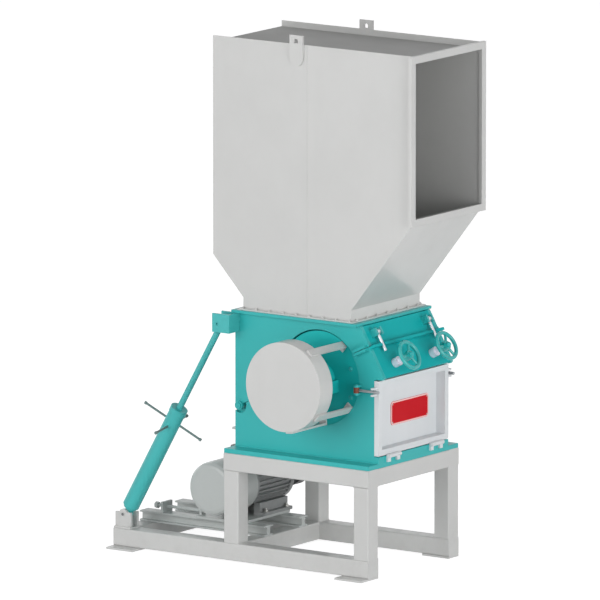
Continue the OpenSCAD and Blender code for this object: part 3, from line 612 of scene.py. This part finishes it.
def door_plate(made):
    """Plain red plate in the door's tray, with a pale rim and four rivets."""
    tray_face = lo["screen_door"].x + 0.0063
    mid = Vector((tray_face, MIDDLE.y + 0.045, lo["screen_door"].z + 0.223))
    half_y, half_z, corner, thick = 0.185, 0.067, 0.020, 0.002
    rim_inset, rim_width, rim_height, rim_sunk = 0.0012, 0.008, 0.0008, 0.0003
    rivet_inset = 0.016

    def loop(inset, out):
        return [mid + Vector((out, y, z))
                for y, z in rounded(half_y - inset, half_z - inset, corner - inset)]

    def plate(mesh):
        cap(mesh, skin(mesh, [loop(0, 0), loop(0, thick * 0.7), loop(0.0006, thick)]))

    def rim(mesh):
        outer, inner = rim_inset, rim_inset + rim_width
        low, high = thick - rim_sunk, thick + rim_height
        skin(mesh, [loop(outer, low), loop(outer, high), loop(inner, high),
                    loop(inner, low)], closed=True)

    def rivets(mesh):
        profile = [(0.0045, -0.0003), (0.0042, 0.0012), (0.0026, 0.0024)]
        for y, z in corners(half_y - rivet_inset, half_z - rivet_inset):
            turned(mesh, aim(mid + Vector((thick, y, z)), X), profile, 16)

    piece("door_red_plate", "door", made["plate"], plate)
    piece("door_plate_rim", "door", made["rim"], rim)
    piece("door_plate_rivets", "door", made["plated"], rivets)


def root_bolts(made):
    """Bolts of the bearings, rear cover, motor and jack foot, and the jack's pin."""
    def painted(mesh):
        # Bearing plates, and the caps of their blocks
        plate_x, plate_z = 0.205, (-0.09, 0.07)
        cap_radius, cap_out = 0.072, 0.07
        for side in (-1, 1):
            y = MIDDLE.y + side * (WALL_OUT - RECESS) - ROTOR.y
            for dx in (-plate_x, plate_x):
                for dz in plate_z:
                    at = ROTOR + Vector((dx, y, dz))
                    hex_bolt(mesh, at, (0, side, 0), across=0.019, turn=dx)
            for a in diagonals():
                at = ROTOR + Vector((cap_radius * math.cos(a), y + side * cap_out,
                                     cap_radius * math.sin(a)))
                hex_bolt(mesh, at, (0, side, 0), across=0.017, turn=a)
        # Rear cover, along its lower edge
        margin, sunk, up = 0.04, 0.010, 0.03
        low, high = lo["rear_cover"], hi["rear_cover"]
        for y in span(low.y + margin, high.y - margin, 5):
            at = (high.x - sunk, y, low.z + up)
            hex_bolt(mesh, at, -X, across=0.013, turn=y)

    def plated(mesh):
        # Motor's feet on its carriage
        foot_x, foot_top = 0.148, lo["motor_body"].z + 0.018
        for side in (-1, 1):
            for y in (lo["motor_body"].y + 0.085, hi["motor_body"].y - 0.10):
                at = (MOTOR.x + side * foot_x, y, foot_top)
                hex_bolt(mesh, at, Z, across=0.024, turn=side, shank=0.008)
        # Jack foot's plate
        plate_top = lo["jack_base"].z + 0.010
        for dx, dy in corners(0.047, 0.041):
            at = (JACK_FOOT.x + dx, JACK_FOOT.y + dy, plate_top)
            hex_bolt(mesh, at, Z, across=0.008, turn=dx)

    def pin_ends(mesh):
        # Jack foot's pin, sunk in its cheeks
        cheek_out = 0.0437
        profile = [(0.0085, 0), (0.0085, 0.0006), (0.007, 0.001), (0.003, 0.0004)]
        for side in (-1, 1):
            at = JACK_FOOT + Vector((0, side * cheek_out, 0))
            turned(mesh, aim(at, (0, side, 0)), profile, 24)

    piece("painted_bolts", "root", made["teal"], painted)
    piece("machine_bolts", "root", made["plated"], plated)
    piece("jack_pin_ends", "root", made["iron"], pin_ends)


def motor_details(made):
    """Screws of the motor's fan cover and terminal box, and the cable gland."""
    box_y = hi["motor_cowl"].y + 0.095
    box_top = hi["motor_body"].z

    def screws(mesh):
        band_y, band_radius = lo["motor_cowl"].y + 0.215, 0.1545
        for a in diagonals():
            out = Vector((math.cos(a), 0, math.sin(a)))
            at = Vector((MOTOR.x, band_y, MOTOR.z)) + out * band_radius
            hex_bolt(mesh, at, out, across=0.010, turn=a)
        for dx, dy in corners(0.048, 0.048):
            at = (MOTOR.x + dx, box_y + dy, box_top)
            hex_bolt(mesh, at, Z, across=0.009, turn=dx)

    def gland(mesh):
        at = Vector((MOTOR.x - 0.05, box_y, box_top - 0.045))
        nut = [(0.017, -0.001), (0.017, 0.008), (0.0135, 0.010), (0.0135, 0.024),
               (0.010, 0.028)]
        plug = [(0.011, 0), (0.011, 0.012), (0.008, 0.016)]
        turned(mesh, aim(at, -X), nut, 6)
        turned(mesh, aim(at - X * 0.02, -X), plug, 24)

    piece("motor_screws", "root", made["plated"], screws)
    piece("cable_gland", "root", made["rubber"], gland)


def hopper_bolts(made):
    """Bolts of the hopper's base flange, on its four sides."""
    def bolts(mesh):
        low, high = lo["hopper_base_flange"], hi["hopper_base_flange"]
        edge, margin, end_half = 0.011, 0.03, 0.30
        across, shank = 0.013, 0.004
        top = high.z
        side_y = high.y - MIDDLE.y - edge
        for side in (-1, 1):
            for x in span(low.x + margin, high.x - margin, 9):
                at = (x, MIDDLE.y + side * side_y, top)
                hex_bolt(mesh, at, Z, across, x, shank)
        for x in (low.x + edge, high.x - edge):
            for y in span(MIDDLE.y - end_half, MIDDLE.y + end_half, 7):
                hex_bolt(mesh, (x, y, top), Z, across, y, shank)

    piece("hopper_bolts", "upper", made["grey"], bolts)


def welds(made):
    """Weld beads of the stand, chamber and hopper, painted over."""
    def stand(mesh):
        bead, thin_bead = 0.0035, 0.0025
        inset = 0.008  # of the thin bead, from each leg's outer face
        for sx, sy in corners(1, 1):
            x0 = hi["legs"].x if sx > 0 else lo["legs"].x
            y0 = hi["legs"].y if sy > 0 else lo["legs"].y
            x1, y1 = x0 - sx * TUBE, y0 - sy * TUBE
            for z in (lo["legs"].z, hi["legs"].z):
                weld(mesh, (x1, y1, z), (x1, y0, z), bead)
                weld(mesh, (x0, y1, z), (x1, y1, z), bead)
                y = y0 - sy * inset
                weld(mesh, (x1, y, z), (x0, y, z), thin_bead)

    def hopper(mesh):
        neck, top = hi["hopper_base_flange"].z, hi["feed_frame"].z
        edge = 0.024
        neck_bead, seam_bead, lug_bead = 0.0035, 0.0022, 0.0045
        seam_ripple = 0.014
        x0, x1 = lo["hopper_base_flange"].x + edge, hi["hopper_base_flange"].x - edge
        seam_x = MIDDLE.x + 0.001
        lug_x, lug_half = MIDDLE.x - 0.066, 0.045
        for side in (-1, 1):
            y = MIDDLE.y + side * (HOPPER_OUT + 0.0004)
            weld(mesh, (seam_x, y, neck + 0.01), (seam_x, y, top - 0.004), seam_bead,
                 seam_ripple)
            for x in (lug_x - lug_half, lug_x + lug_half):
                weld(mesh, (x, y, top - 0.070), (x, y, top - 0.006), lug_bead)
            weld(mesh, (x0, y, neck), (x1, y, neck), neck_bead)

    def along_walls(mesh, x0, x1, z, bead=0.005):
        for side in (-1, 1):
            y = MIDDLE.y + side * WALL_OUT
            weld(mesh, (x0, y, z), (x1, y, z), bead)

    def chamber(mesh):
        along_walls(mesh, lo["upper_side_walls"].x + 0.014, hi["lower_end_walls"].x,
                    hi["base_plate"].z)

    def flange(mesh):
        along_walls(mesh, lo["top_flange"].x + 0.01, hi["top_flange"].x - 0.01,
                    lo["top_flange"].z)

    piece("stand_welds", "root", made["grey"], stand, smooth=60)
    piece("hopper_welds", "upper", made["grey"], hopper, smooth=60)
    piece("chamber_welds", "root", made["teal"], chamber, smooth=60)
    piece("top_flange_welds", "upper", made["teal"], flange, smooth=60)


def handwheel_nuts(made):
    """Domed nut on each handwheel's hub."""
    hexagon = [(0.0165, -0.001), (0.0165, 0.010), (0.0140, 0.0125)]
    dome = [(0.012, 0.011), (0.0105, 0.017), (0.006, 0.021), (0.001, 0.022)]
    for name, body in (("near_handwheel", "wheel_near"), ("far_handwheel", "wheel_far")):
        at = Vector(JOINTS[name + "_turn"]["pos_m"]) + SLOPE_OUT * HUB_TOP

        def nut(mesh, place=aim(at, SLOPE_OUT)):
            turned(mesh, place, hexagon, 6)
            turned(mesh, place, dome, 24)

        piece(name + "_nut", body, made["teal"], nut)


camera()
surroundings()
made = finishes()
dress_nodes(made)
for add_details in (door_plate, root_bolts, motor_details, hopper_bolts, welds,
                    handwheel_nuts):
    add_details(made)

bpy.context.scene.view_settings.view_transform = "Standard"
